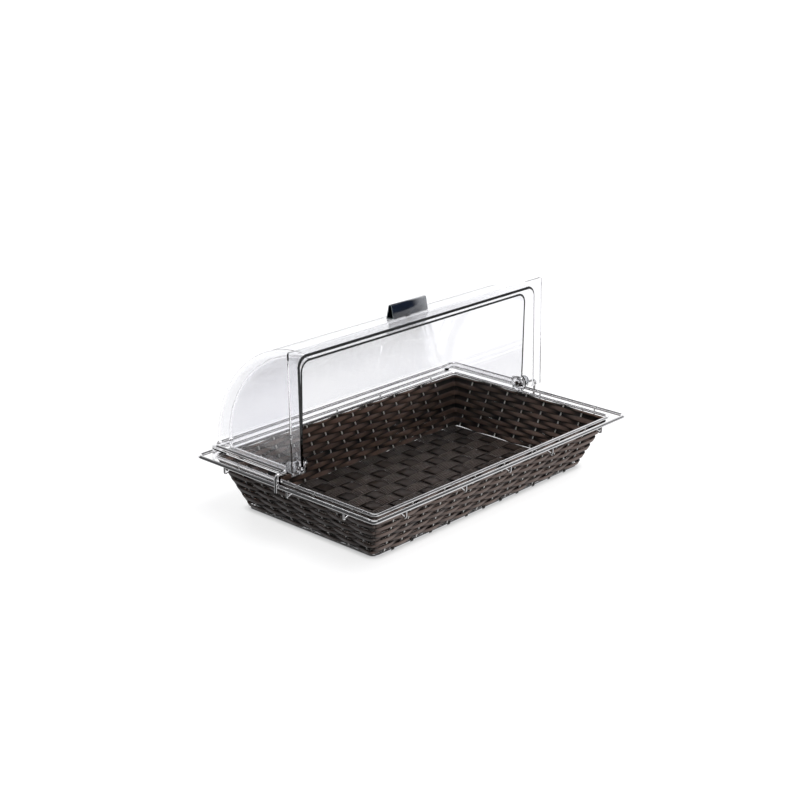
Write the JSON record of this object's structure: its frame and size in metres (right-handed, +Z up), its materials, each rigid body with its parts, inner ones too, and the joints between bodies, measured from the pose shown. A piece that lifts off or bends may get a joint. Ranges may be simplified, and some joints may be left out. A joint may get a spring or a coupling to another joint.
{
  "type": "countertop bread display bin",
  "caption": "Woven rectangular buffet basket on a chrome wire frame, under a clear roll-top hood whose outer half turns back over the fixed rear half.",
  "frame": {"origin": "middle of the footprint, on the counter that the basket stands on", "axes": "+X along the basket's length, +Y to the back (the fixed hood's side), +Z up"},
  "size_m": [0.5382, 0.325, 0.2639],
  "materials": {
    "chrome_wire": "polished chrome plate",
    "rattan": "satin, lightly grained synthetic rattan",
    "lashing": "satin",
    "clear_plastic": "clear, polished",
    "cap_plastic": "clear, slightly milky",
    "dark_metal": "black, high gloss"
  },
  "bodies": {
    "basket": {"flange_wire": "chrome_wire", "rim_wire": "chrome_wire", "base_wire": "chrome_wire", "hood_carrier": "chrome_wire", "hooks_front": "chrome_wire", "hooks_back": "chrome_wire", "hooks_near": "chrome_wire", "hooks_far": "chrome_wire", "stakes_front": "chrome_wire", "stakes_back": "chrome_wire", "stakes_near": "chrome_wire", "stakes_far": "chrome_wire", "strips_front": "rattan", "strips_back": "rattan", "strips_near": "rattan", "strips_far": "rattan", "floor_warp": "rattan", "floor_weft": "rattan", "floor_frame": "chrome_wire", "lashings_front": "lashing", "lashings_back": "lashing", "fixed_hood": "clear_plastic", "pivot_pins": "chrome_wire", "pivot_discs": "clear_plastic", "pivot_caps": "cap_plastic"},
    "hood": {"moving_hood": "clear_plastic", "handle": "dark_metal", "handle_screw": "chrome_wire", "handle_nut": "chrome_wire"}
  },
  "joints": [
    {"name": "lid", "type": "hinge", "parent": "basket", "child": "hood", "pos_m": [0, 0.005, 0.09635], "axis": [1, 0, 0], "range_deg": [0, 92]}
  ]
}
